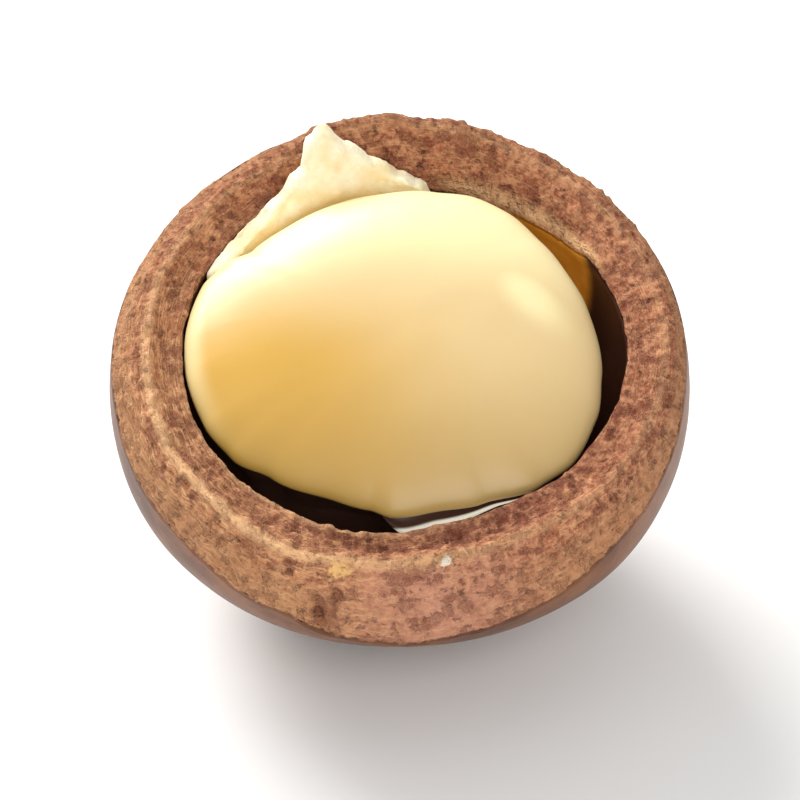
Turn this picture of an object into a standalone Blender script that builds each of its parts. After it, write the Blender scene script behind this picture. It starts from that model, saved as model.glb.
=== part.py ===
"""Macadamia nut in its shell: one nut whose woody shell has been broken open round the
mouth, with the whole kernel still sitting in the cup. Metres, +Z up, resting on z = 0.
The open mouth leans a little towards -Y."""

from math import atan2, cos, degrees, hypot, pi, radians, sin, sqrt

import bmesh
import bpy
from mathutils import Matrix, Vector, noise

for stray in list(bpy.data.objects):
    bpy.data.objects.remove(stray, do_unlink=True)

MM = 0.001

# Driving dimensions, in millimetres.
SHELL_RADIUS = 12.5        # outside of the shell
CAVITY_RADIUS = 9.9        # inside of the shell, so the wall is 2.6 thick
REST_HEIGHT = 11.36        # middle of the ball over the small flat spot that the nut rests on
REST_SHIFT = -1.18         # sets the middle of that flat spot over the origin
PRESSED = 0.10             # share by which the nut is flatter low on its near side
MOUTH_TILT = 16.0          # lean of the mouth towards -Y, degrees
KERNEL_CREST = 4.35        # height of the kernel's face over the middle of the cup
KERNEL_FALL = 0.12         # fall of the face towards the near side, per mm
KERNEL_CURVE = 0.011       # roundness of the face
KERNEL_DEPTH = 9.55        # depth of the kernel's underside
KERNEL_TAPER = 0.93        # girth of the underside against a ball of that depth
SEGMENTS = 72              # round the mouth
SKIN_WAVE = 0.07           # low swells of the outer skin
LINING_WAVE = 0.04         # the same inside the cavity
BREAK_GRAIN = 0.14         # coarse grain of the broken wall
KERNEL_WAVE = 0.05         # low swells of the kernel
USUAL_EDGE = 1.9           # usual height of the break's outer edge
EDGE_ROUND = 0.35          # height over which the skin turns into the break
LINING_DROP = 1.2          # step from the inner edge down to the next ring of lining
SHOULDER_POWER = 5         # the higher, the flatter the face and the tighter its shoulder
KERNEL_WAIST = 0.75        # how far the kernel's side draws in under the face's edge
NEAR_WAIST = 1.7           # the same on the near side, where the flesh has shrunk most

# The broken wall round the mouth. At each azimuth (degrees, -90 is the near side):
# radius and height of the inner edge, of the trough, of the ridge, height of the outer edge.
BREAK = (
    (-105.0, 9.55, 2.35, 10.25, 2.15, 11.15, 2.35, -1.4),
    (-90.0, 9.55, 2.45, 10.25, 2.25, 11.05, 2.55, -2.0),
    (-76.0, 9.55, 2.50, 10.30, 2.35, 11.05, 2.80, -1.3),
    (-60.0, 9.60, 2.50, 10.35, 2.40, 11.10, 2.80, -0.7),
    (-38.0, 9.62, 2.50, 10.40, 2.55, 11.30, 2.80, 0.45),
    (0.0, 9.66, 2.60, 10.40, 2.75, 11.40, 2.90, 2.20),
    (28.0, 9.64, 2.35, 10.40, 2.75, 11.40, 2.95, 2.35),
    (46.0, 9.62, 1.55, 10.40, 2.60, 11.35, 3.15, 2.60),
    (62.0, 9.62, 1.30, 10.40, 2.55, 11.35, 3.35, 2.80),
    (80.0, 9.62, 1.45, 10.40, 2.75, 11.30, 3.75, 3.30),
    (95.0, 9.62, 1.70, 10.40, 2.95, 11.25, 4.00, 3.70),
    (107.0, 9.62, 1.95, 10.40, 2.90, 11.25, 3.80, 3.50),
    (114.0, 9.62, 2.20, 10.35, 2.65, 11.15, 3.20, 2.85),
    (130.0, 9.62, 2.35, 10.25, 2.60, 11.00, 3.15, 2.50),
    (150.0, 9.58, 2.40, 10.15, 2.65, 10.95, 3.15, 2.10),
    (180.0, 9.50, 2.45, 10.05, 2.60, 10.90, 3.15, 1.85),
    (215.0, 9.50, 2.35, 10.20, 2.35, 11.20, 2.80, 0.45),
    (246.0, 9.50, 2.30, 10.25, 2.20, 11.30, 2.30, -0.6),
)

# Outline of the kernel's face: azimuth, radius and height of its edge.
FACE = ((-175.0, 9.15, 1.8), (-157.0, 9.05, 1.7), (-145.0, 8.75, 1.7), (-132.0, 8.2, 1.7),
        (-112.0, 7.7, 1.6), (-100.0, 7.8, 1.6), (-92.0, 8.1, 1.6), (-78.0, 7.9, 1.6),
        (-64.0, 8.15, 1.6), (-47.0, 8.85, 1.7), (-36.0, 9.15, 1.8), (-20.0, 8.95, 1.8),
        (-6.0, 8.7, 1.9), (17.0, 8.45, 2.2), (29.0, 8.35, 2.3), (42.0, 8.4, 2.4),
        (57.0, 8.6, 2.5), (67.0, 8.65, 2.5), (80.0, 8.4, 2.5), (98.0, 8.2, 2.4),
        (127.0, 8.2, 2.3), (144.0, 8.2, 2.2), (158.0, 8.8, 2.0), (172.0, 9.15, 1.9))

# The torn ledge of the kernel at the far left: azimuth and height of its crest.
LEDGE = ((60.0, 1.6), (79.8, 2.1), (85.1, 2.7), (89.6, 3.0), (96.5, 3.6), (103.2, 4.4),
         (108.5, 5.25), (112.1, 4.95), (115.9, 3.9), (124.5, 3.2), (132.7, 2.85),
         (141.1, 2.6), (152.7, 2.5), (165.0, 2.2))
LEDGE_SPAN = (70.0, 84.0, 146.0, 162.0)   # grows in, full, full, dies away
LEDGE_LEAN = 0.55                         # outward lean of the ledge for each mm of rise
LEDGE_FOOT = 9.0                          # radius of the ledge at the height of the rim
LEDGE_HALF = 0.33                         # half thickness at the crest


REST_WAY = Vector((0.0, -sin(radians(MOUTH_TILT)), -cos(radians(MOUTH_TILT))))
LOW_NEAR = Vector((0.0, -0.809, -0.588))


def smooth(t):
    t = min(1.0, max(0.0, t))
    return t * t * (3.0 - 2.0 * t)


def keyed(table, azimuth, closed):
    """Values of a table of (azimuth, values...) rows at one azimuth, eased between rows."""
    rows = sorted(table)
    if closed:
        while azimuth < rows[0][0]:
            azimuth += 360.0
        rows.append((rows[0][0] + 360.0,) + tuple(rows[0][1:]))
    if azimuth <= rows[0][0]:
        return rows[0][1:]
    for low, high in zip(rows, rows[1:]):
        if azimuth <= high[0]:
            t = smooth((azimuth - low[0]) / (high[0] - low[0]))
            return tuple(a + (b - a) * t for a, b in zip(low[1:], high[1:]))
    return rows[-1][1:]


def grain(place, scale, seed):
    """Soft noise between -1 and 1, shifted by its seed."""
    return noise.noise(place * scale + Vector((seed, 0.37 * seed, -0.61 * seed)))


def pressed(place):
    """The nut isn't quite a ball: low on its near side it is flatter."""
    share = PRESSED * smooth((-0.5 - place.z) / 6.0)
    return place - LOW_NEAR * share * max(0.0, place.dot(LOW_NEAR))


def spun(name, profile):
    """A profile in the XZ plane, from pole to pole, spun once round Z and closed."""
    shape = bmesh.new()
    points = [shape.verts.new((r, 0.0, z)) for r, z in profile]
    for a, b in zip(points, points[1:]):
        shape.edges.new((a, b))
    bmesh.ops.spin(shape, geom=shape.verts[:] + shape.edges[:], cent=(0, 0, 0),
                   axis=(0, 0, 1), angle=2.0 * pi, steps=SEGMENTS, use_merge=True)
    bmesh.ops.remove_doubles(shape, verts=shape.verts[:], dist=1e-4)
    return shape


def ring_of(point, profile):
    """Index of the profile point that a spun vertex came from."""
    r = hypot(point.x, point.y)
    return min(range(len(profile)),
               key=lambda k: hypot(r - profile[k][0], point.z - profile[k][1]))


def polar(r, azimuth, z):
    a = radians(azimuth)
    return Vector((r * cos(a), r * sin(a), z))


def level(radius, z):
    """Radius of a ball's circle at one height."""
    return sqrt(max(0.0, radius * radius - z * z))


def bowl(radius, rings):
    """Profile of a half ball, from its pole up to just under its widest circle."""
    heights = [-radius * cos(pi / 2 * k / rings) for k in range(rings)]
    return [(level(radius, z), z) for z in heights]


def broken_edge(azimuth):
    """Rings of the broken wall at one azimuth, from the outer skin over to the lining."""
    r_inner, z_inner, r_trough, z_trough, r_ridge, z_ridge, z_outer = keyed(
        BREAK, azimuth, closed=True)
    r_outer = level(SHELL_RADIUS, z_outer)
    z_skin, z_lining = z_outer - EDGE_ROUND, z_inner - LINING_DROP
    return ((level(SHELL_RADIUS, z_skin), z_skin),
            (r_outer - 0.10, z_outer),
            ((r_ridge + r_outer) / 2 + 0.05, (z_ridge + z_outer) / 2 + 0.15),
            (r_ridge, z_ridge),
            (r_trough, z_trough),
            (r_inner, z_inner),
            (level(CAVITY_RADIUS, z_lining), z_lining))


def make_shell():
    """The shell as one closed wall: outer skin, broken edge and cavity."""
    outside, inside = bowl(SHELL_RADIUS, 13), bowl(CAVITY_RADIUS, 9)
    usual = [(12.4, 0.5), (12.2, 1.9), (11.7, 2.5), (11.1, 2.9), (10.3, 2.6), (9.6, 2.4),
             (9.8, 1.1)]
    profile = outside + usual + inside[::-1]
    profile[0], profile[-1] = (0.0, -SHELL_RADIUS), (0.0, -CAVITY_RADIUS)
    last_skin = outside[-1][1]
    shape = spun("shell", profile)
    for v in shape.verts:
        k = ring_of(v.co, profile)
        azimuth = degrees(atan2(v.co.y, v.co.x))
        edge = broken_edge(azimuth)
        ring = k - len(outside)
        if 0 <= ring < len(edge):
            v.co = polar(edge[ring][0], azimuth, edge[ring][1])
        elif 0 < k < len(outside):
            # The skin's upper rings sink where the break reaches low.
            z = outside[k][1]
            sink = min(0.0, edge[1][1] - USUAL_EDGE)
            z += sink * smooth((z - last_skin / 2 + 9.0) / 9.0)
            v.co = polar(level(SHELL_RADIUS, z), azimuth, z)
        direction = v.co.normalized()
        if 2 <= ring <= 4:
            v.co.z += BREAK_GRAIN * (grain(v.co, 0.9, 3.0) + 0.6 * grain(v.co, 2.1, 9.0))
        elif ring < 2:
            away = smooth((1.0 - direction.dot(REST_WAY)) / 0.2)
            v.co += direction * SKIN_WAVE * away * grain(direction, 2.2, 1.0)
        else:
            v.co += direction * LINING_WAVE * grain(direction, 2.6, 5.0)
    return shape


def face_height(x, y, share, edge_height):
    """Height of the kernel's face: a low dome that falls to its edge in a round shoulder."""
    dome = KERNEL_CREST + KERNEL_FALL * y - KERNEL_CURVE * (x * x + y * y)
    shoulder = 1.0 - sqrt(1.0 - share ** SHOULDER_POWER)
    return dome + (edge_height - dome) * shoulder


def ledge_rings(azimuth):
    """Rings of the torn ledge: groove, inner side, crest, outer side down to the kernel."""
    crest, = keyed(LEDGE, azimuth, closed=False)
    middle = LEDGE_FOOT + LEDGE_LEAN * (crest - 2.6)
    groove = 2.05
    return ((8.30, groove),
            (8.72, groove + 0.38 * (crest - groove)),
            (middle - LEDGE_HALF, crest - 0.06),
            (middle + LEDGE_HALF, crest - 0.20),
            (9.22, min(crest - 0.3, 2.9)),
            (9.15, 1.20))


def drawn_in(azimuth):
    """How far the kernel's side draws in at one azimuth: most round the near side."""
    near = smooth(1.0 - abs((azimuth + 90.0 + 180.0) % 360.0 - 180.0) / 75.0)
    return KERNEL_WAIST + (NEAR_WAIST - KERNEL_WAIST) * near


def make_kernel():
    """The kernel as one grown body: smooth face, torn ledge at the far left, round underside."""
    shares = (0.0, 0.14, 0.28, 0.42, 0.55, 0.67, 0.77, 0.85, 0.91, 0.955, 0.985)
    side = ((0.0, 0.0), (0.08, 0.2), (0.2, 0.5), (0.34, 0.95), (0.50, 1.5), (0.66, 2.2))
    depths = (-1.3, -2.7, -4.1, -5.5, -6.8, -7.9, -8.7, -9.25, -KERNEL_DEPTH)
    profile = [(8.5 * share, 4.0 - 2.0 * share ** SHOULDER_POWER) for share in shares]
    profile += [(8.5 - inset, 1.8 - drop) for inset, drop in side]
    profile += [(KERNEL_TAPER * level(KERNEL_DEPTH, z), z) for z in depths]
    grow, full, end_full, end = LEDGE_SPAN
    shape = spun("kernel", profile)
    for v in shape.verts:
        k = ring_of(v.co, profile)
        azimuth = degrees(atan2(v.co.y, v.co.x))
        edge, height = keyed(FACE, azimuth, closed=True)
        ring = k - len(shares)
        if ring < 0:
            flat = polar(edge * shares[k], azimuth, 0.0)
            rise = face_height(flat.x, flat.y, shares[k], height)
            v.co = flat + Vector((0, 0, rise))
        elif ring < len(side):
            inset, drop = side[ring]
            inset *= drawn_in(azimuth) / KERNEL_WAIST
            ledge = ledge_rings(azimuth)[ring]
            share = smooth((azimuth - grow) / (full - grow))
            share *= smooth((end - azimuth) / (end - end_full))
            plain = polar(edge - inset, azimuth, height - drop)
            v.co = plain.lerp(polar(ledge[0], azimuth, ledge[1]), share)
        else:
            girth, z = profile[k]
            waist = min(girth, edge - drawn_in(azimuth))
            v.co = polar(girth + (waist - girth) * smooth(1.1 + z / 8.75), azimuth, z)
        direction = v.co.normalized()
        v.co += direction * KERNEL_WAVE * grain(direction, 2.4, 12.0)
    return shape


def finish(name, shape, colour, roughness):
    """Leans the shape, sets it over its rest plane and gives it its material."""
    for v in shape.verts:
        v.co = pressed(v.co)
    lean = Matrix.Rotation(radians(MOUTH_TILT), 4, "X")
    bmesh.ops.transform(shape, matrix=Matrix.Translation((0, REST_SHIFT, REST_HEIGHT)) @ lean,
                        verts=shape.verts[:])
    if name == "shell":
        everything = shape.verts[:] + shape.edges[:] + shape.faces[:]
        bmesh.ops.bisect_plane(shape, geom=everything, plane_co=(0, 0, 0),
                               plane_no=(0, 0, -1), clear_outer=True)
        bmesh.ops.remove_doubles(shape, verts=shape.verts[:], dist=0.02)
        ring = [e for e in shape.edges if e.is_boundary]
        bmesh.ops.contextual_create(shape, geom=ring)
    bmesh.ops.transform(shape, matrix=Matrix.Scale(MM, 4), verts=shape.verts[:])
    bmesh.ops.recalc_face_normals(shape, faces=shape.faces[:])
    mesh = bpy.data.meshes.new(name)
    shape.to_mesh(mesh)
    shape.free()
    part = bpy.data.objects.new(name, mesh)
    home.objects.link(part)
    for polygon in mesh.polygons:
        polygon.use_smooth = True
    material = bpy.data.materials.new(name)
    material.use_nodes = True
    look = material.node_tree.nodes["Principled BSDF"]
    look.inputs["Base Color"].default_value = colour
    look.inputs["Roughness"].default_value = roughness
    look.inputs["Metallic"].default_value = 0.0
    mesh.materials.append(material)
    return part


home = bpy.data.collections.new("macadamia_nut_in_shell")
bpy.context.scene.collection.children.link(home)

finish("shell", make_shell(), (0.27, 0.11, 0.05, 1.0), 0.5)
finish("kernel", make_kernel(), (0.80, 0.62, 0.32, 1.0), 0.35)
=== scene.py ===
# %% [markdown]
# A macadamia nut in its shell, broken open.
#
# The real object is a nearly round woody shell, about 25 mm across, whose top has been
# broken away. The kernel still sits in the cup. Three surfaces make the picture: the
# smooth brown skin outside, the rough pinkish wall where the shell broke, and the waxy
# cream kernel with its torn ledge. The solid frame comes first, because every finished
# piece has to sit exactly where its solid does. The wall and the kernel could be scanned or
# sculpted; here both are set out from a few measured rows, so that each size can be read.

# %% Load the frame
from math import cos, hypot, pi, radians, sin, sqrt

import bpy
import numpy as np
from mathutils import Matrix, Vector, noise


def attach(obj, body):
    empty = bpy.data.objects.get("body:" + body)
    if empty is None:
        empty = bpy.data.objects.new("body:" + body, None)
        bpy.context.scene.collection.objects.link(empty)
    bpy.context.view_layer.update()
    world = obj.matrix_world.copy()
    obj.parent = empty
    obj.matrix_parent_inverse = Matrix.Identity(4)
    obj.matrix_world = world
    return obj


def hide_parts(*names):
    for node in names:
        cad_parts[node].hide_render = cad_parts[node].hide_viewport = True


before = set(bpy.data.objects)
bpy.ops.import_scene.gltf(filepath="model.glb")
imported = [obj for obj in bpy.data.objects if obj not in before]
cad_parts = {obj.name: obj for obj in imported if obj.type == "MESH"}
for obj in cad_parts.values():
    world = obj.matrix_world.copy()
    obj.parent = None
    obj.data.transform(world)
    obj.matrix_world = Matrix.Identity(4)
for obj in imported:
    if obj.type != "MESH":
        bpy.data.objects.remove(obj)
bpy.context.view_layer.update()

# %% [markdown]
# The nut is worked in millimetres in its own upright pose, with the mouth facing straight
# up and the middle of the ball at the origin. Only at the end is each piece leaned over
# and set on the table. The sizes below are those of the solids.

# %% Sizes of the nut
MM = 0.001
SHELL_RADIUS = 12.5
CAVITY_RADIUS = 9.9
REST_HEIGHT, REST_SHIFT = 11.36, -1.18      # the flat spot under the middle of the ball
PRESSED = 0.10                              # how much flatter the nut is low on its near side
MOUTH_TILT = radians(16.0)
to_table = (Matrix.Scale(MM, 4) @ Matrix.Translation((0, REST_SHIFT, REST_HEIGHT))
            @ Matrix.Rotation(MOUTH_TILT, 4, "X"))
print("middle of the ball stands", REST_HEIGHT, "mm over the table")

# %% [markdown]
# Camera, light and table come early, so that every later step can be judged in a render.
# The photograph looks down on the nut at about 38 degrees. A long lens from some way off
# keeps the ball round, as it is in the picture.

# %% Camera
PICTURE_WIDTH = 34.5 * MM      # width of the view at the nut
CAMERA_DISTANCE = 0.42
LOOK_DOWN = radians(38.0)
AIM_DROP = 0.6 * MM            # the view is centred this far below the middle of the ball
ball_middle = Vector((0.0, REST_SHIFT, REST_HEIGHT)) * MM
picture_up = Vector((0.0, sin(LOOK_DOWN), cos(LOOK_DOWN)))
away = Vector((0.0, -cos(LOOK_DOWN), sin(LOOK_DOWN)))
aim = ball_middle - picture_up * AIM_DROP
camera_data = bpy.data.cameras.new("camera")
camera = bpy.data.objects.new("camera", camera_data)
bpy.context.scene.collection.objects.link(camera)
camera.location = aim + away * CAMERA_DISTANCE
camera.rotation_euler = (-away).to_track_quat("-Z", "Y").to_euler()
camera_data.lens = camera_data.sensor_width * CAMERA_DISTANCE / PICTURE_WIDTH
camera_data.clip_start, camera_data.clip_end = 0.01, 10.0
bpy.context.scene.camera = camera
print("lens", round(camera_data.lens, 1), "mm")

# %% [markdown]
# The studio light of the picture is a large soft source above, to the left and a little
# behind, with white surroundings that fill the shadows. A real table would have one
# softbox and white card round it. Here one area light stands for the softbox, a weak one in
# front stands for the card on the camera's side, and a white world stands for the rest.

# %% Light
LAMP_COLOUR = (1.0, 0.985, 0.96)
LIT_POINT = Vector((0, 0, 0.012))
ROOM_STRENGTH = 0.62


def softbox(name, place, size, power):
    """A square area light that faces the nut from a place in metres."""
    data = bpy.data.lights.new(name, "AREA")
    data.shape, data.size, data.energy = "SQUARE", size, power
    data.color = LAMP_COLOUR
    lamp = bpy.data.objects.new(name, data)
    lamp.location = place
    lamp.rotation_euler = (LIT_POINT - lamp.location).to_track_quat("-Z", "Y").to_euler()
    bpy.context.scene.collection.objects.link(lamp)
    return lamp


softbox("window_softbox", (-0.17, 0.25, 0.22), 0.24, 2.1)
softbox("front_fill", (0.06, -0.30, 0.20), 0.24, 0.60)

world = bpy.data.worlds.new("white_room")
world.use_nodes = True
world.node_tree.nodes["Background"].inputs["Color"].default_value = (1.0, 1.0, 1.0, 1.0)
world.node_tree.nodes["Background"].inputs["Strength"].default_value = ROOM_STRENGTH
bpy.context.scene.world = world
bpy.context.scene.view_settings.view_transform = "Standard"

# %% [markdown]
# Materials are written as sums. `Knob` wraps one output of a node, and plus, minus and
# times on it add Math nodes, so a mask reads as a formula and not as a drawing of wires.


# %% Shader helper
class Knob:
    """An output socket that can be used in sums, inside one material."""

    def __init__(self, paint, socket):
        self.paint, self.socket = paint, socket

    def sum_of(self, operation, *others):
        return self.paint.node("ShaderNodeMath", {"operation": operation},
                               **{str(k): v for k, v in enumerate((self,) + others)})

    def __add__(self, other):
        return self.sum_of("ADD", other)

    __radd__ = __add__

    def __sub__(self, other):
        return self.sum_of("SUBTRACT", other)

    def __rsub__(self, other):
        return self.paint.node("ShaderNodeMath", {"operation": "SUBTRACT"}, **{"0": other, "1": self})

    def __mul__(self, other):
        return self.sum_of("MULTIPLY", other)

    __rmul__ = __mul__

    def least(self, other):
        return self.sum_of("MINIMUM", other)

    def most(self, other):
        return self.sum_of("MAXIMUM", other)

    def step(self, low, high):
        """0 below low, 1 above high, eased between; low may be the larger one."""
        return self.paint.node("ShaderNodeMapRange", {"interpolation_type": "SMOOTHSTEP"},
                               Value=self, **{"From Min": low, "From Max": high})


class Paint:
    """One procedural material on a Principled surface."""

    def __init__(self, name):
        self.material = bpy.data.materials.new(name)
        self.material.use_nodes = True
        self.tree = self.material.node_tree
        self.surface = self.tree.nodes["Principled BSDF"]
        place = self.node("ShaderNodeTexCoord", out="Object")
        self.place = self.vector("SCALE", place, Scale=1000.0)   # millimetres

    def feed(self, socket, value):
        if isinstance(value, Knob):
            self.tree.links.new(value.socket, socket)
        elif value is not None:
            socket.default_value = value

    def node(self, kind, settings=None, out=None, **inputs):
        made = self.tree.nodes.new(kind)
        for name, value in (settings or {}).items():
            setattr(made, name, value)
        for name, value in inputs.items():
            socket = made.inputs[int(name)] if name.isdigit() else made.inputs[name]
            self.feed(socket, value)
        return Knob(self, made.outputs[out] if out else made.outputs[0])

    def vector(self, operation, a, b=None, **inputs):
        slots = {"0": a} if b is None else {"0": a, "1": b}
        return self.node("ShaderNodeVectorMath", {"operation": operation}, **slots, **inputs)

    def stretch(self, vector, along):
        return self.vector("MULTIPLY", vector, along)

    def cloud(self, vector, scale, detail=3.0, rough=0.55):
        """Soft noise, about 0 to 1, with this many lumps to the millimetre."""
        return self.node("ShaderNodeTexNoise", {"noise_dimensions": "3D"}, Vector=vector,
                         Scale=scale, Detail=detail, Roughness=rough)

    def cells(self, vector, scale):
        """Distance to the nearest of many scattered dots."""
        return self.node("ShaderNodeTexVoronoi", {"feature": "F1"}, Vector=vector, Scale=scale)

    def attribute(self, name, out="Fac"):
        return self.node("ShaderNodeAttribute", {"attribute_name": name}, out=out)

    def blend(self, share, first, second):
        """Colour mix: first where share is 0, second where it is 1."""
        made = self.tree.nodes.new("ShaderNodeMix")
        made.data_type = "RGBA"
        self.feed(made.inputs[0], share)
        self.feed(made.inputs[6], first)
        self.feed(made.inputs[7], second)
        return Knob(self, made.outputs[2])

    def coats(self, ground, *coats):
        """Lays coats over a ground colour, each one a share and a colour."""
        for share, colour in coats:
            ground = self.blend(share, ground, colour)
        return ground

    def bumped(self, height, distance, under=None):
        """Raises the surface by height times distance, in millimetres."""
        return self.node("ShaderNodeBump", Height=height, Distance=distance * MM,
                         Strength=1.0, Normal=under)

    def finish(self, **sockets):
        for name, value in sockets.items():
            self.feed(self.surface.inputs[name.replace("_", " ")], value)
        return self.material


def rgb(r, g, b):
    return (r, g, b, 1.0)


# %% [markdown]
# The table is one large plain sheet, so pale that it fades into the white room. The
# picture is a cut-out on white, and a real sheet of card would give the same soft shadow.

# %% Table
bpy.ops.object.select_all(action="DESELECT")
bpy.ops.mesh.primitive_plane_add(size=6.0, location=(0, 0, 0))
table_top = bpy.context.active_object
table_top.name = "table_top"
sheet = Paint("white_table")
grain_of_table = sheet.cloud(sheet.place, 0.06, detail=2.0)
table_top.data.materials.append(sheet.finish(
    Base_Color=sheet.blend(grain_of_table, rgb(0.86, 0.86, 0.86), rgb(0.90, 0.90, 0.895)),
    Roughness=0.75))
print("table laid")

# %% [markdown]
# Both the shell and the kernel are grown shapes whose outline changes all the way round.
# A few measured rows at chosen azimuths describe them, and everything between is eased.
# Azimuth -90 degrees is the near side, which faces the camera. No nut is quite round, and
# this one is flatter low on its near side, where the break runs far down its wall.

# %% Helpers for shapes that change round the mouth
LOW_NEAR = np.array((0.0, -0.809, -0.588))     # the way from the middle to the low near side
PRESS_TOP, PRESS_DEPTH = -0.5, 6.0             # pressing starts at this height, full this far below


def eased(t):
    """0 below 0, 1 above 1, and a soft S between."""
    t = np.clip(t, 0.0, 1.0)
    return t * t * (3.0 - 2.0 * t)


def near_azimuth(azimuth, middle, reach):
    """1 at one azimuth, easing to 0 at reach degrees from it."""
    return eased(1.0 - np.abs((azimuth - middle + 180.0) % 360.0 - 180.0) / reach)


def round_the_mouth(azimuth):
    """The point of the unit circle at each azimuth in degrees."""
    turn = np.radians(azimuth)
    return np.column_stack([np.cos(turn), np.sin(turn), np.zeros(len(turn))])


def around(rows, azimuth, closed=True):
    """Columns of the rows after the first, eased to each azimuth in an array."""
    rows = np.array(sorted(rows), float)
    if closed:
        azimuth = rows[0, 0] + (azimuth - rows[0, 0]) % 360.0
        rows = np.vstack([rows, rows[0] + np.eye(rows.shape[1])[0] * 360.0])
    azimuth = np.clip(azimuth, rows[0, 0], rows[-1, 0])
    high = np.clip(np.searchsorted(rows[:, 0], azimuth), 1, len(rows) - 1)
    low, up = rows[high - 1], rows[high]
    t = eased((azimuth - low[:, 0]) / (up[:, 0] - low[:, 0]))[:, None]
    return (low + (up - low) * t)[:, 1:].T


def grain(points, scale, seed):
    """Soft noise between -1 and 1 at each point."""
    places = np.asarray(points) * scale + (seed, 0.37 * seed, -0.61 * seed)
    return np.array([noise.noise(place) for place in places.tolist()])


def level(radius, z):
    """How far out a ball's surface lies at a height."""
    return np.sqrt(np.maximum(0.0, radius ** 2 - z ** 2))


def pressed(points):
    """Moves the low near side inwards, less and less towards the mouth."""
    depth = eased((PRESS_TOP - points[:, 2]) / PRESS_DEPTH)
    share = PRESSED * depth * np.maximum(0.0, points @ LOW_NEAR)
    return points - LOW_NEAR * share[:, None]


def curve_through(knots, t):
    """Smooth curve through knots (each an r and z array) at places t from 0 to len - 1."""
    knots = np.array(knots)                                  # knots, 2, vertices
    last = len(knots) - 1
    i = np.clip(np.floor(t).astype(int), 0, last - 1)
    f = t - i
    n = np.arange(len(t))
    p0, p1 = knots[np.maximum(i - 1, 0), :, n].T, knots[i, :, n].T
    p2, p3 = knots[i + 1, :, n].T, knots[np.minimum(i + 2, last), :, n].T
    return 0.5 * (2 * p1 + (p2 - p0) * f + (2 * p0 - 5 * p1 + 4 * p2 - p3) * f ** 2
                  + (3 * p1 - p0 - 3 * p2 + p3) * f ** 3)


print("the near side is pressed in by up to", PRESSED * SHELL_RADIUS, "mm")

# %% [markdown]
# Both pieces start from Blender's own ball. A vertex then only needs to know its azimuth
# and its ring, and the rings are laid where the piece needs them.

# %% Helpers for the ball and its vertices


def vertices_of(piece):
    co = np.empty(len(piece.data.vertices) * 3)
    piece.data.vertices.foreach_get("co", co)
    return co.reshape(-1, 3)


def move_vertices(piece, points):
    piece.data.vertices.foreach_set("co", np.ascontiguousarray(points, float).ravel())
    piece.data.update()


def normals_of(piece):
    out = np.empty(len(piece.data.vertices) * 3)
    piece.data.vertices.foreach_get("normal", out)
    return out.reshape(-1, 3)


def keep_attribute(piece, name, values, kind="FLOAT"):
    layer = piece.data.attributes.new(name, kind, "POINT")
    layer.data.foreach_set("value" if kind == "FLOAT" else "vector",
                           np.ascontiguousarray(values, float).ravel())


def ball(name, segments, rings):
    """A ball primitive cut fine, with each vertex's azimuth in degrees and its ring,
    counted from below. A coarse ball that is subdivided is made much sooner than a fine one."""
    bpy.ops.object.select_all(action="DESELECT")
    bpy.ops.mesh.primitive_uv_sphere_add(segments=segments // 4, ring_count=rings // 4, radius=1.0)
    piece = bpy.context.active_object
    piece.name = piece.data.name = name
    bpy.ops.object.mode_set(mode="EDIT")
    bpy.ops.mesh.select_all(action="SELECT")
    bpy.ops.mesh.subdivide(number_cuts=3)
    bpy.ops.object.mode_set(mode="OBJECT")
    co = vertices_of(piece)
    azimuth = np.degrees(np.arctan2(co[:, 1], co[:, 0]))
    ring = np.arctan2(np.hypot(co[:, 0], co[:, 1]), -co[:, 2]) / pi * rings
    return piece, azimuth, ring


def shade_smooth(piece):
    piece.data.polygons.foreach_set("use_smooth", np.ones(len(piece.data.polygons), bool))


def face_outwards():
    """Turns all faces of the piece in edit mode outwards."""
    bpy.ops.mesh.select_all(action="SELECT")
    bpy.ops.mesh.normals_make_consistent(inside=False)


# %% [markdown]
# The shell. A potter makes a cup by pressing a thumb into a ball of clay, and the same
# move works here: a ball primitive keeps its lower half as the outer skin, its middle
# rings become the broken edge, and its upper half is pushed down inside as the lining.
# That leaves one closed wall with no seam, and its rings crowd together on the break,
# where the grain needs them. The rows below say how the wall was broken: high and level at
# the back, low in front, with a ridge and a shallow trough inside it all the way round.

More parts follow.
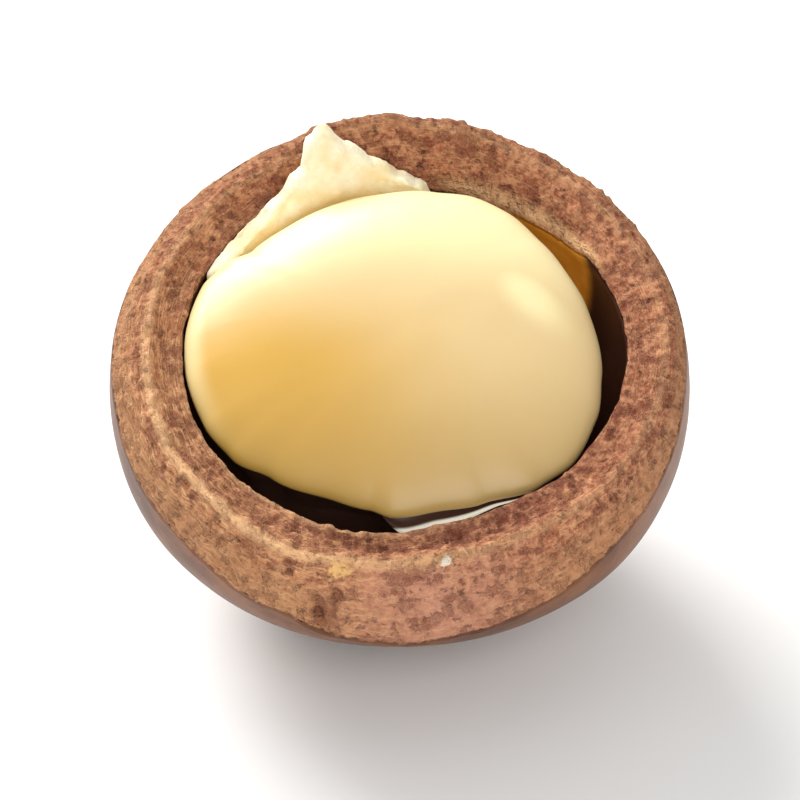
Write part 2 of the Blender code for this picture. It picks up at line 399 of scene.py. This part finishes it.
# %% Measured rows of the break
BREAK = (
    # azimuth, inner edge r and z, trough r and z, ridge r and z, outer edge z
    (-105.0, 9.55, 2.35, 10.25, 2.15, 11.15, 2.35, -1.4),
    (-90.0, 9.45, 2.45, 10.20, 2.25, 11.05, 2.55, -2.0),
    (-76.0, 9.18, 2.50, 10.10, 2.35, 11.05, 2.80, -1.3),
    (-60.0, 9.22, 2.50, 10.15, 2.40, 11.10, 2.80, -0.7),
    (-38.0, 9.52, 2.50, 10.35, 2.55, 11.30, 2.80, 0.45),
    (0.0, 9.76, 2.60, 10.45, 2.75, 11.40, 2.90, 2.20),
    (28.0, 9.64, 2.35, 10.40, 2.75, 11.40, 2.95, 2.35),
    (46.0, 9.62, 1.55, 10.40, 2.60, 11.35, 3.15, 2.60),
    (62.0, 9.62, 1.30, 10.40, 2.55, 11.35, 3.35, 2.80),
    (80.0, 9.62, 1.45, 10.40, 2.75, 11.30, 3.75, 3.30),
    (95.0, 9.62, 1.70, 10.40, 2.95, 11.25, 4.00, 3.70),
    (107.0, 9.62, 1.95, 10.40, 2.90, 11.25, 3.80, 3.50),
    (114.0, 9.62, 2.20, 10.35, 2.65, 11.15, 3.20, 2.85),
    (130.0, 9.58, 2.35, 10.25, 2.60, 11.00, 3.15, 2.50),
    (150.0, 9.42, 2.40, 10.15, 2.65, 10.95, 3.15, 2.10),
    (180.0, 9.36, 2.45, 10.05, 2.60, 10.90, 3.15, 1.85),
    (215.0, 9.50, 2.35, 10.20, 2.35, 11.20, 2.80, 0.45),
    (246.0, 9.50, 2.30, 10.25, 2.20, 11.30, 2.30, -0.6),
)
EDGE_ROUND = 0.35              # the skin starts to turn in this far below the outer edge
LINING_DROP = 1.2              # the lining starts this far below the inner edge
OUTER_SWING, OUTER_CHIPS, INNER_CHIPS = 0.16, 0.10, 0.07     # how ragged the two edges are
print("break measured at", len(BREAK), "azimuths")

# %% [markdown]
# A broken edge is never a clean curve. Long slow noise makes it rise and fall, short noise
# nicks it, and the wall between the two edges then follows them.

# %% Press the ball into a cup
SHELL_SEGMENTS = 720
SKIN_RINGS, BREAK_RINGS, LINING_RINGS = 30, 52, 22
shell, azimuth, ring = ball("macadamia_shell", SHELL_SEGMENTS,
                            SKIN_RINGS + BREAK_RINGS + LINING_RINGS)
circle = round_the_mouth(azimuth)

r_in, z_in, r_low, z_low, r_top, z_top, z_out = around(BREAK, azimuth)
ragged = (OUTER_SWING * grain(circle * 12.0, 0.55, 31.0)
          + OUTER_CHIPS * grain(circle * 12.0, 1.7, 33.0))
z_out = z_out + ragged
r_in = r_in + INNER_CHIPS * grain(circle * 10.0, 1.3, 37.0)
z_skin, z_lining = z_out - EDGE_ROUND, z_in - LINING_DROP
r_out = level(SHELL_RADIUS, z_out)
knots = [(level(SHELL_RADIUS, z_skin), z_skin),                         # end of the skin
         (r_out - 0.02, z_out),                                         # outer edge
         ((r_top + r_out) / 2 + 0.05, (z_top + z_out) / 2 + 0.15),      # slope of the wall
         (r_top, z_top),                                                # ridge
         (r_low, z_low),                                                # trough
         (r_in, z_in),                                                  # inner edge
         (level(CAVITY_RADIUS, z_lining), z_lining)]                    # start of the lining
OUTER_EDGE, RIDGE, INNER_EDGE = 1, 3, 5          # places in that list, which span counts by
span = np.clip((ring - SKIN_RINGS) / BREAK_RINGS, 0.0, 1.0) * (len(knots) - 1)
r_break, z_break = curve_through(knots, span)

skin_share = np.clip(ring / SKIN_RINGS, 0, 1)
skin_angle = skin_share * np.arctan2(level(SHELL_RADIUS, z_skin), -z_skin)
inner_share = np.clip((ring - SKIN_RINGS - BREAK_RINGS) / LINING_RINGS, 0, 1)
inner_angle = (1 - inner_share) * np.arctan2(level(CAVITY_RADIUS, z_lining), -z_lining)
on_skin, in_lining = ring < SKIN_RINGS, ring > SKIN_RINGS + BREAK_RINGS
r = np.where(on_skin, SHELL_RADIUS * np.sin(skin_angle),
             np.where(in_lining, CAVITY_RADIUS * np.sin(inner_angle), r_break))
z = np.where(on_skin, -SHELL_RADIUS * np.cos(skin_angle),
             np.where(in_lining, -CAVITY_RADIUS * np.cos(inner_angle), z_break))
points = circle * r[:, None]
points[:, 2] = z
print("shell vertices", len(points))

# %% [markdown]
# The break is woody: short fibres that run round the mouth, crumbs, pits and small torn
# steps. Noise squeezed across the wall and drawn out along it makes the fibres, and
# finer noise makes the crumbs. The skin and the lining only get slow swells. The fibres
# stand out most on the left of the near side, where the picture's light rakes over them.

# %% Grain of the broken wall
SKIN_WAVE, LINING_WAVE, BREAK_GRAIN = 0.07, 0.04, 0.14
FIBRE_RELIEF, SUNNY_FIBRE_RELIEF, CRUMB_RELIEF = 0.075, 0.08, 0.10
REST_WAY = np.array((0.0, -sin(MOUTH_TILT), -cos(MOUTH_TILT)))
direction = points / np.linalg.norm(points, axis=1)[:, None]
rough_share = eased((span - 0.9) / 0.35) * eased((5.1 - span) / 0.4)
lumps = grain(points, 0.9, 3.0) + 0.6 * grain(points, 2.1, 9.0)
points[:, 2] += BREAK_GRAIN * rough_share * lumps
clear_of_rest = eased((1.0 - direction @ REST_WAY) / 0.2)
swell = np.where(span < 1.0, SKIN_WAVE * clear_of_rest * grain(direction, 2.2, 1.0),
                 LINING_WAVE * grain(direction, 2.6, 5.0) * (span > 5.0))
points += direction * swell[:, None]
move_vertices(shell, points)

fibre_way = np.column_stack([circle[:, 0] * 11.0, circle[:, 1] * 11.0, span * 3.4])
fibres = grain(fibre_way, 1.5, 41.0) + 0.5 * grain(fibre_way * (1.2, 1.2, 2.4), 1.9, 43.0)
crumbs = grain(points, 2.6, 47.0) + 0.7 * grain(points, 5.5, 53.0)
fibre_relief = FIBRE_RELIEF + SUNNY_FIBRE_RELIEF * near_azimuth(azimuth, -130.0, 80.0)
relief = rough_share * (fibre_relief * fibres + CRUMB_RELIEF * crumbs)
points += normals_of(shell) * relief[:, None]
move_vertices(shell, points)
print("grain up to", round(float(np.abs(relief).max()), 3), "mm")

# %% [markdown]
# What the paint needs to know is stored on the mesh: how far each point lies past the
# outer edge of the break, how far past the inner edge, and a way for the fibres to run.
# A painter would see the edges. The paint here sees only numbers, so they are written down.

# %% Where the skin, the wall and the lining begin
knot_gap = np.array([hypot(float(np.mean(b[0] - a[0])), float(np.mean(b[1] - a[1])))
                     for a, b in zip(knots, knots[1:])])
along = np.concatenate([[0], np.cumsum(knot_gap)])
past_outer = np.interp(span, np.arange(len(knots)), along) - along[OUTER_EDGE]
past_inner = np.interp(span, np.arange(len(knots)), along) - along[INNER_EDGE]
past_outer[on_skin] = -1.0
past_inner[in_lining] = 1.5
keep_attribute(shell, "past_outer", past_outer)
keep_attribute(shell, "past_inner", past_inner)
keep_attribute(shell, "fibre_way", fibre_way, "FLOAT_VECTOR")
print("break is", round(float(along[INNER_EDGE] - along[OUTER_EDGE]), 2), "mm across on average")

# %% [markdown]
# The wall isn't one colour all round. Its left is painted lighter, as painted light where the light
# rakes over it, its outer band is dull tan, a pinker facet was snapped off low in front, and the
# inner side there is darkened with painted shade. The ridge and the inner edge catch the light as
# painted highlights. At the upper right the thin lining is painted a lit amber and glows.
# Each of these is a soft share from 0 to 1, set by azimuth and by place across the wall.

# %% Marks for the bands of the wall


def band(place, half_width):
    """1 on one place across the wall, easing to 0 on both sides of it."""
    return eased(1.0 - np.abs(span - place) / half_width)


facet = near_azimuth(azimuth, -82.0, 30.0) * eased((RIDGE - span) / 0.4)
near_inner_edge = 0.6 * near_azimuth(azimuth, -120.0, 70.0) * band(4.78, 0.26)
amber_lip = band(4.70, 0.42) * eased(near_azimuth(azimuth, 54.0, 36.0) * 2.0)
wall_marks = {
    # painted light: the left of the wall is lighter where the light rakes over it
    "lit_left": near_azimuth(azimuth, -150.0, 100.0),
    "ridge_light": band(RIDGE, 0.42) * (0.25 + 0.75 * near_azimuth(azimuth, -135.0, 95.0)),
    "tan_band": eased((2.4 - span) / 0.6) * (1.0 - 0.8 * facet),
    "facet": facet,
    # painted shade on the inner slope of the wall in front, next to the dark gap
    "near_inner_shade": eased((span - 3.3) / 0.5) * near_azimuth(azimuth, -85.0, 95.0),
    # painted light: where the lining is painted a lit amber and glows
    "lit_amber": (eased((azimuth - 31.0) / 5.0) * eased((74.0 - azimuth) / 14.0)
              * eased((span - 4.8) / 0.25)),
    "inner_light": np.maximum(amber_lip, near_inner_edge),
    # painted light: the lining at the far left is painted a lit brown
    "lit_left_lining": near_azimuth(azimuth, 172.0, 48.0) * eased((span - 4.8) / 0.3),
}
for name, values in wall_marks.items():
    keep_attribute(shell, name, values)
print("bands marked:", ", ".join(wall_marks))

# %% [markdown]
# Three flaws stand out in front: a small dark notch low on the wall, a golden splinter over it, and a
# chip of pale flesh stuck to the ridge. The notch is a real dent, and it is also painted dark inside
# as painted shade. The other two are thinner than the grain, so they are colour alone.

# %% Notch, splinter and chip
WALL_RADIUS, SPAN_MM = 11.5, 0.95           # mm out to the wall, and mm to one step of span
NOTCH_DEPTH = 0.45


def mark_at(middle, place, long, wide):
    """A soft spot on the wall round one azimuth and place across, sizes in millimetres."""
    aside = np.radians((azimuth - middle + 180.0) % 360.0 - 180.0) * WALL_RADIUS
    return np.exp(-(aside / long) ** 2 - ((span - place) * SPAN_MM / wide) ** 2)


notch = mark_at(-106.0, 1.45, 0.46, 0.42) * (0.75 + 0.9 * grain(points, 1.8, 59.0))
notch = np.clip(notch + 0.6 * mark_at(-103.5, 1.95, 0.20, 0.26), 0.0, 1.0)
move_vertices(shell, points - normals_of(shell) * (NOTCH_DEPTH * notch)[:, None])
keep_attribute(shell, "notch", notch)
keep_attribute(shell, "splinter", mark_at(-103.0, 2.7, 0.55, 0.26))
keep_attribute(shell, "white_chip", mark_at(-80.0, 2.85, 0.24, 0.22))
print("notch is", round(NOTCH_DEPTH * float(notch.max()), 2), "mm deep")

# %% [markdown]
# Set the finished cup on the table: press its low near side, scale it to metres, lean it,
# and shave the small flat spot that it rests on, which is a plane cut with its hole filled.

# %% Lean the shell and cut its rest
move_vertices(shell, pressed(vertices_of(shell)))
shell.data.transform(to_table)
bpy.ops.object.mode_set(mode="EDIT")
bpy.ops.mesh.select_all(action="SELECT")
bpy.ops.mesh.bisect(plane_co=(0, 0, 0), plane_no=(0, 0, -1), use_fill=True, clear_outer=True,
                    threshold=1e-6)
face_outwards()
bpy.ops.object.mode_set(mode="OBJECT")
shade_smooth(shell)
print("shell faces", len(shell.data.polygons))

# %% [markdown]
# The kernel. It fills the cup but has shrunk a little, so it lies free with a dark gap on
# the right and in front. Its visible face is a low smooth dome with a tight shoulder. At
# the far left a torn ledge of flesh stands up behind the face and ends in a peak, and a
# thin sliver of flesh stands out from under the near edge. Clay could be modelled round a
# pea for this; here a ball primitive gives the rings again, and rows give their sizes.

# %% Measured rows of the kernel
# The edge of the face: azimuth, radius and height.
FACE = ((-175.0, 9.27, 2.2), (-157.0, 9.10, 1.9), (-145.0, 8.80, 1.7), (-132.0, 8.2, 1.7),
        (-112.0, 7.7, 1.6), (-100.0, 7.8, 1.6), (-92.0, 8.1, 1.6), (-78.0, 7.9, 1.6),
        (-64.0, 8.15, 1.6), (-47.0, 8.85, 1.7), (-36.0, 9.15, 1.8), (-20.0, 8.95, 1.8),
        (-6.0, 8.7, 1.9), (17.0, 8.45, 2.2), (29.0, 8.35, 2.3), (42.0, 8.4, 2.4),
        (57.0, 8.6, 2.5), (67.0, 8.65, 2.5), (80.0, 8.4, 2.5), (98.0, 8.2, 2.4),
        (127.0, 8.2, 2.3), (141.0, 8.35, 2.3), (150.0, 8.95, 2.35), (158.0, 9.24, 2.35),
        (172.0, 9.29, 2.3))
# The crest of the torn ledge: azimuth and height.
LEDGE = ((60.0, 1.6), (79.8, 2.1), (85.1, 2.7), (89.6, 3.0), (96.5, 3.6), (103.2, 4.4),
         (108.5, 5.25), (112.1, 4.95), (115.9, 3.9), (124.5, 3.2), (132.7, 2.85),
         (141.1, 2.7), (152.7, 2.65), (165.0, 2.4))
LEDGE_SPAN = (70.0, 84.0, 151.0, 161.0)     # it grows over the first two, fades over the last
LEDGE_FOOT, LEDGE_LEAN, LEDGE_HALF, GROOVE = 9.0, 0.55, 0.33, 2.05
# The tip of the sliver under the near edge: azimuth, radius and height.
SLIVER = ((-97.0, 8.80, 1.00), (-90.0, 8.84, 1.15), (-78.0, 8.60, 1.38), (-62.0, 8.50, 1.52),
          (-48.0, 9.00, 1.62))
SLIVER_PLACE, SLIVER_HALF = 3.5, 0.28       # how far down the side, and how thick
KERNEL_CREST, KERNEL_FALL, KERNEL_CURVE = 4.35, 0.12, 0.011
KERNEL_DEPTH, KERNEL_TAPER, KERNEL_WAIST, NEAR_WAIST = 9.55, 0.93, 0.75, 1.7
WAIST_HEIGHT = -1.3
SHOULDER_POWER = 5
print("kernel measured at", len(FACE), "azimuths, its ledge at", len(LEDGE))

# %% [markdown]
# The face. Its rings run from the middle of the dome to the shoulder and crowd together
# there, because the shoulder is the only place where the face turns fast.

# %% The kernel's face
KERNEL_SEGMENTS = 480
FACE_RINGS, SIDE_RINGS, UNDER_RINGS = 56, 48, 32
kernel, azimuth, ring = ball("macadamia_kernel", KERNEL_SEGMENTS,
                             FACE_RINGS + SIDE_RINGS + UNDER_RINGS)
ring = FACE_RINGS + SIDE_RINGS + UNDER_RINGS - ring          # counted from the top here
circle = round_the_mouth(azimuth)
on_face = ring <= FACE_RINGS
on_side = (ring > FACE_RINGS) & (ring <= FACE_RINGS + SIDE_RINGS)

edge, edge_z = around(FACE, azimuth)
share = np.clip(ring / FACE_RINGS, 0, 1)
share = np.minimum(1.0 - (1.0 - share) ** 1.35, 0.9985)
x, y = (circle * (edge * share)[:, None])[:, :2].T
dome = KERNEL_CREST + KERNEL_FALL * y - KERNEL_CURVE * (x * x + y * y)
face_z = dome + (edge_z - dome) * (1.0 - np.sqrt(1.0 - share ** SHOULDER_POWER))
print("face is", round(float(face_z[on_face].max() - edge_z.min()), 2), "mm high")

# %% [markdown]
# The side. On most of the nut it falls in under the face and runs down to the waist. At the
# far left the same knots are lifted instead: down into the groove, up over the crest of the
# ledge and down behind it. In front a thin part of the side is drawn out to the sliver.

# %% Side, ledge and sliver
crest, = around(LEDGE, azimuth, closed=False)
ledge_middle = LEDGE_FOOT + LEDGE_LEAN * (crest - 2.6)
grow, full, end_full, end = LEDGE_SPAN
standing = eased((azimuth - grow) / (full - grow)) * eased((end - azimuth) / (end - end_full))
ledge = [(np.full_like(crest, 8.30), np.full_like(crest, GROOVE)),             # groove
         (np.full_like(crest, 8.72), GROOVE + 0.38 * (crest - GROOVE)),        # torn slope
         (ledge_middle - LEDGE_HALF, crest - 0.06),                            # crest, inside
         (ledge_middle + LEDGE_HALF, crest - 0.20),                            # crest, outside
         (np.full_like(crest, 9.22), np.minimum(crest - 0.3, 2.9)),            # behind it
         (np.full_like(crest, 9.15), np.full_like(crest, 1.20))]               # its foot
drawn_in = KERNEL_WAIST + (NEAR_WAIST - KERNEL_WAIST) * near_azimuth(azimuth, -90.0, 75.0)
# How far in and how far down each knot of the plain side lies from the edge of the face.
side = ((0.0, 0.0), (0.08, 0.2), (0.2, 0.5), (0.34, 0.95), (0.50, 1.5), (0.66, 2.2))
side_knots = [(edge * 0.985, edge_z + 0.35)]
for (inset, drop), (ledge_r, ledge_z) in zip(side, ledge):
    inset = inset * drawn_in / KERNEL_WAIST
    side_knots.append((edge - inset + (ledge_r - edge + inset) * standing,
                       edge_z - drop + (ledge_z - edge_z + drop) * standing))
waist_r = np.minimum(KERNEL_TAPER * level(KERNEL_DEPTH, WAIST_HEIGHT), edge - drawn_in)
side_knots.append((waist_r, np.full_like(edge, WAIST_HEIGHT)))
side_t = 1.0 + np.clip((ring - FACE_RINGS) / SIDE_RINGS, 0, 1) * (len(side_knots) - 2)
side_r, side_z = curve_through(side_knots, side_t)

tip_r, tip_z = around(SLIVER, azimuth, closed=False)
lip = eased((azimuth + 99.0) / 13.0) * eased((-44.0 - azimuth) / 8.0)
lip = lip * eased(1.0 - np.abs(side_t - SLIVER_PLACE) / SLIVER_HALF)
side_r, side_z = side_r + (tip_r - side_r) * lip, side_z + (tip_z - side_z) * lip
print("ledge stands", round(float(crest.max() - GROOVE), 2), "mm over its groove")

# %% [markdown]
# The underside is a plain bowl, a little smaller than the cup, so that the kernel lies free.
# With it all rings are set, and a slow swell takes the turned look off the whole piece.

# %% Underside, and all rings in place
under = np.clip((ring - FACE_RINGS - SIDE_RINGS) / UNDER_RINGS, 0, 1)
under_z = WAIST_HEIGHT + (-KERNEL_DEPTH - WAIST_HEIGHT) * np.sin(under * pi / 2) ** 0.9
girth = KERNEL_TAPER * level(KERNEL_DEPTH, under_z)
waist = np.minimum(girth, edge - drawn_in)
under_r = girth + (waist - girth) * eased(1.1 + under_z / 8.75)

r = np.where(on_face, edge * share, np.where(on_side, side_r, under_r))
z = np.where(on_face, face_z, np.where(on_side, side_z, under_z))
r[ring > ring.max() - 1e-3] = 0.0           # the pole underneath
points = circle * r[:, None]
points[:, 2] = z
direction = points / np.linalg.norm(points, axis=1)[:, None]
points += direction * (0.05 * grain(direction, 2.4, 12.0))[:, None]
move_vertices(kernel, points)
print("kernel vertices", len(points))

# %% [markdown]
# Where the kernel was torn its flesh is grainy, like broken hard cheese. Three sizes of
# noise push the ledge in and out. The face keeps its smooth skin.

# %% Torn grain of the ledge
on_ledge = standing * eased((side_t - 1.2) / 0.6) * eased((6.2 - side_t) / 0.8)
tear = (0.10 * grain(points, 1.5, 61.0) + 0.06 * grain(points, 4.0, 67.0)
        + 0.03 * grain(points, 9.0, 71.0))
points += normals_of(kernel) * (tear * on_ledge)[:, None]
move_vertices(kernel, points)
print("ledge torn by up to", round(float(np.abs(tear * on_ledge).max()), 3), "mm")

# %% [markdown]
# The kernel's paint needs marks too. The flesh is gold at the lower left, partly its own tone and
# partly painted shade where the face turns from the light. It is painted duller low in front as
# painted shade, and nearly white as painted light at the far side and along its left rim, with a
# painted highlight where the light shines on its right shoulder. The side under the face is in deep
# shade.

# %% Marks for the kernel's paint
from_left, from_near = (points[:, 0] + 9.0) / 18.0, (points[:, 1] + 8.0) / 16.0
below = np.where(on_face, 0.0, np.where(on_side, side_t, 9.0))
far_left = eased(1.0 - np.abs(azimuth - 168.0) / 40.0)
lit_left_rim = eased((share - 0.86) / 0.12) * on_face * near_azimuth(azimuth, 172.0, 55.0)
SHINE_X, SHINE_Y, SHINE_LONG, SHINE_WIDE = 5.6, 1.9, 1.9, 1.0
down_right = ((points[:, 0] - SHINE_X) - (points[:, 1] - SHINE_Y)) / sqrt(2)
up_right = ((points[:, 0] - SHINE_X) + (points[:, 1] - SHINE_Y)) / sqrt(2)
shine = np.exp(-(down_right / SHINE_LONG) ** 2 - (up_right / SHINE_WIDE) ** 2)
lit_far_side = eased((from_near - 0.54 + 0.06 * from_left) / 0.42)
kernel_marks = {
    "torn": on_ledge,
    "sliver": lip * ~on_face,
    "shaded_side": eased((below - 1.6) / 0.6) * (1.0 - far_left),
    # painted shade: the crease between the ledge and the face is painted darker gold
    "groove": standing * eased((side_t - 0.8) / 0.5) * eased((2.3 - side_t) / 0.9),
    # the flesh's own gold, deepened as painted shade at the lower left
    "gold_and_shade": eased(1.10 - 1.20 * from_left) * (0.15 + 0.85 * eased((0.74 - from_near) / 0.38)),
    # painted shade: the face is duller low in front
    "low": eased((0.52 - from_near) / 0.50),
    # painted light at the far side and left rim, and a painted highlight on the right shoulder
    "painted_light": np.maximum(lit_far_side, np.maximum(0.95 * shine, 0.7 * lit_left_rim)),
}
for name, values in kernel_marks.items():
    keep_attribute(kernel, name, values)
print("kernel marked:", ", ".join(kernel_marks))

# %% [markdown]
# The kernel is pressed, scaled and leaned exactly as its shell was, so it stays in its cup.

# %% Lean the kernel
move_vertices(kernel, pressed(vertices_of(kernel)))
kernel.data.transform(to_table)
shade_smooth(kernel)
bpy.ops.object.mode_set(mode="EDIT")
face_outwards()
bpy.ops.object.mode_set(mode="OBJECT")
print("kernel faces", len(kernel.data.polygons))

# %% [markdown]
# Paint for the shell. One material holds all three of its surfaces, because they run into
# one another along ragged lines, and the marks on the mesh say where. The first is the
# skin: a satin brown that is mottled dark and light, with golden flecks and fine pores.

# %% Shell paint: the skin
bark = Paint("woody_shell")
mottle = bark.cloud(bark.place, 0.30, detail=5.0, rough=0.62)
streaks = bark.cloud(bark.stretch(bark.place, (0.5, 0.5, 1.6)), 0.9, detail=4.0)
pores = bark.cells(bark.place, 1.5)
flecks = bark.cells(bark.stretch(bark.place, (0.14, 0.55, 0.55)), 1.0)
skin = bark.coats(
    bark.blend(mottle.step(0.34, 0.68), rgb(0.100, 0.032, 0.010), rgb(0.225, 0.082, 0.028)),
    (streaks.step(0.52, 0.75) * 0.5, rgb(0.070, 0.022, 0.010)),
    (flecks.step(0.14, 0.05) * 0.7, rgb(0.42, 0.20, 0.045)),
    (pores.step(0.10, 0.04) * 0.6, rgb(0.045, 0.015, 0.008)))
print("skin mixed")

# %% [markdown]
# The broken wall is pinkish brown wood. It is built up as a painter would glaze it: crumbs of two
# tones, redder patches and pale dust, then painted light on the left, the fibres, the bands, painted
# shade on the inner side in front and the blotches, and the painted highlights on the edges and the
# flaws last. Each coat is a share and a colour.

# %% Shell paint: the broken wall
way = bark.attribute("fibre_way", out="Vector")
strands = bark.cloud(bark.stretch(way, (0.8, 0.8, 3.2)), 1.4, detail=4.0, rough=0.6)
crumb = bark.cloud(bark.place, 2.9, detail=5.0, rough=0.68)
patches = bark.cloud(bark.place, 0.7, detail=3.0)
specks = bark.cloud(bark.place, 2.2, detail=4.0, rough=0.65)
dust = bark.cloud(bark.place, 6.0, detail=2.0)
blotch = bark.cloud(bark.place, 1.3, detail=4.0, rough=0.66)
lit_left, tan_band = bark.attribute("lit_left"), bark.attribute("tan_band")
rough_part = 1.0 - tan_band * 0.65
edge_light = bark.attribute("ridge_light").most(bark.attribute("inner_light"))
ragged_dot = (crumb - 0.5) * 1.6
pinker = bark.attribute("facet") * patches.step(0.25, 0.50)
inner_shade = bark.attribute("near_inner_shade") * crumb.step(0.68, 0.40)
wall = bark.coats(
    bark.blend(crumb.step(0.36, 0.64), rgb(0.31, 0.090, 0.044), rgb(0.66, 0.300, 0.150)),
    (patches.step(0.46, 0.66) * 0.5, rgb(0.46, 0.145, 0.066)),
    (dust.step(0.50, 0.64) * 0.35, rgb(0.80, 0.44, 0.22)),
    # painted light: the left is painted lighter, and its fibres in stronger contrast, where the light
    # rakes over it
    (lit_left * 0.28, rgb(0.80, 0.42, 0.18)),
    (strands.step(0.47, 0.37) * (0.15 + lit_left * 0.35), rgb(0.19, 0.058, 0.032)),
    (strands.step(0.52, 0.64) * (0.28 + lit_left * 0.50), rgb(0.92, 0.55, 0.27)),
    (tan_band * 0.50, rgb(0.48, 0.245, 0.115)),
    (pinker * 0.65, rgb(0.58, 0.275, 0.185)),
    # painted shade: the inner slope in front is painted darker
    (inner_shade * 0.75, rgb(0.20, 0.060, 0.038)),
    (blotch.step(0.40, 0.80) * 0.95 * rough_part, rgb(0.22, 0.052, 0.027)),
    (specks.step(0.60, 0.70) * 0.55 * rough_part, rgb(0.090, 0.022, 0.016)),
    (edge_light * crumb.step(0.24, 0.46) * 0.9, rgb(1.00, 0.59, 0.30)),
    # painted shade: the dent of the notch is painted dark
    (bark.attribute("notch").least(1.0) * 0.85, rgb(0.125, 0.022, 0.012)),
    ((bark.attribute("splinter") + ragged_dot).step(0.30, 0.62) * 0.9, rgb(0.86, 0.50, 0.19)),
    ((bark.attribute("white_chip") + ragged_dot).step(0.35, 0.65), rgb(0.88, 0.78, 0.62)))
print("broken wall mixed")

# %% [markdown]
# The lining is a thin glossy dark glaze, painted nearly black as painted shade where the kernel
# shades it. At the far left it is painted a lit brown, as painted light. At the upper right light
# comes through the shell and it shines amber. A thin see-through wall would do that on a real nut;
# here a faint glow under an orange glaze, painted as lit amber, stands for it.

# %% Shell paint: the lining
glaze = bark.cloud(bark.place, 0.5, detail=3.0)
lit_amber = bark.attribute("lit_amber")
lit_amber_glaze = bark.blend(glaze.step(0.35, 0.65), rgb(0.60, 0.20, 0.015), rgb(0.86, 0.40, 0.05))
lining = bark.coats(
    # painted shade: the dark lining is painted nearly black
    bark.blend(glaze.step(0.35, 0.7), rgb(0.050, 0.020, 0.022), rgb(0.085, 0.033, 0.026)),
    (bark.attribute("lit_left_lining"), rgb(0.34, 0.15, 0.06)),
    (lit_amber, lit_amber_glaze))
glow = bark.blend(lit_amber, rgb(0, 0, 0), rgb(0.15, 0.05, 0.004))
print("lining mixed")

# %% [markdown]
# The three surfaces meet along the marks, which a little noise makes wander. The skin is
# satin, the wall is dry and the lining is glossy. Bumps too fine to model finish the wall's
# grain and the skin's pores.

# %% Shell paint: all three together
wander = bark.cloud(bark.place, 2.4, detail=3.0) - 0.5
broken = (bark.attribute("past_outer") + wander * 0.35).step(-0.03, 0.05)
inside = (bark.attribute("past_inner") + wander * 0.30).step(-0.05, 0.12)
SKIN_ROUGH, WALL_EXTRA, LINING_LESS = 0.44, 0.42, 0.50
rough = SKIN_ROUGH + broken * WALL_EXTRA + inside * -LINING_LESS
on_wall, on_the_skin = broken * (1.0 - inside), 1.0 - broken
pits = specks.step(0.58, 0.70) * 0.5
wall_relief = (crumb * 0.8 + strands * 0.5 + blotch.step(0.64, 0.50) * 0.5 - pits) * on_wall
skin_relief = (bark.cloud(bark.place, 5.0, detail=3.0) * 0.12
               - pores.step(0.12, 0.03) * 0.25) * on_the_skin
bumps = bark.bumped(skin_relief, 0.10, under=bark.bumped(wall_relief, 0.28))
shell.data.materials.append(bark.finish(
    Base_Color=bark.coats(skin, (broken, wall), (inside, lining)), Roughness=rough, Normal=bumps,
    Emission_Color=glow, Emission_Strength=1.0, Specular_IOR_Level=0.30))
print("shell paint nodes", len(bark.tree.nodes))

# %% [markdown]
# Paint for the kernel: waxy flesh that lets some light in, so it glows warm in its shaded parts. Its
# face is smooth and a little glossy, and its colour carries painted shade low and to the left,
# painted light at the far side and left rim, and a painted highlight on the right shoulder. The torn
# ledge is dry and grainy, paler than the face and painted a darker gold in its groove as painted
# shade. The sliver is so thin that light comes through it, and a weak glow stands for that.

# %% Kernel paint
flesh = Paint("kernel_flesh")
torn = flesh.attribute("torn")
clouding = flesh.cloud(flesh.place, 0.16, detail=3.0) - 0.5
gold_and_shade = flesh.attribute("gold_and_shade") + clouding * 0.30
painted_light = flesh.attribute("painted_light") + clouding * 0.15
# painted shade at the lower left and in front, painted light and a painted highlight on the far side
face_tone = flesh.coats(
    flesh.blend(gold_and_shade.step(0.05, 0.95), rgb(0.74, 0.55, 0.27), rgb(0.64, 0.37, 0.060)),
    (flesh.attribute("low") * 0.72, rgb(0.46, 0.285, 0.075)),
    (painted_light.step(0.0, 1.0), rgb(0.90, 0.78, 0.43)))
ledge_tone = flesh.coats(
    flesh.blend(flesh.cloud(flesh.place, 0.8).step(0.35, 0.65),
                rgb(0.90, 0.72, 0.42), rgb(0.95, 0.87, 0.64)),
    # painted shade in the groove
    (flesh.attribute("groove") * 0.8, rgb(0.84, 0.56, 0.17)))
pale_edge = flesh.attribute("sliver").step(0.50, 0.68)
flesh_colour = flesh.coats(
    face_tone,
    (torn, ledge_tone),
    (flesh.attribute("shaded_side") * (1.0 - torn), rgb(0.10, 0.045, 0.030)),
    (pale_edge, rgb(0.95, 0.90, 0.76)))
dimple = flesh.cloud(flesh.place, 1.2, detail=3.0) * 0.12
tear_grain = flesh.cloud(flesh.place, 5.0, detail=3.0) * torn * 0.6
kernel.data.materials.append(flesh.finish(
    Base_Color=flesh_colour, Roughness=0.36 + torn * 0.3,
    Normal=flesh.bumped(dimple + tear_grain, 0.10),
    Emission_Color=flesh.blend(pale_edge, rgb(0, 0, 0), rgb(0.30, 0.27, 0.20)),
    Emission_Strength=1.0, Subsurface_Weight=0.18, Subsurface_Radius=(1.0, 0.5, 0.18),
    Subsurface_Scale=0.8 * MM))
print("kernel paint nodes", len(flesh.tree.nodes))

# %% [markdown]
# Each finished piece rides with the one body and stands for its solid.

# %% Hand the pieces over
for piece, node in ((shell, "shell"), (kernel, "kernel")):
    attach(piece, "root")
    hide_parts(node)
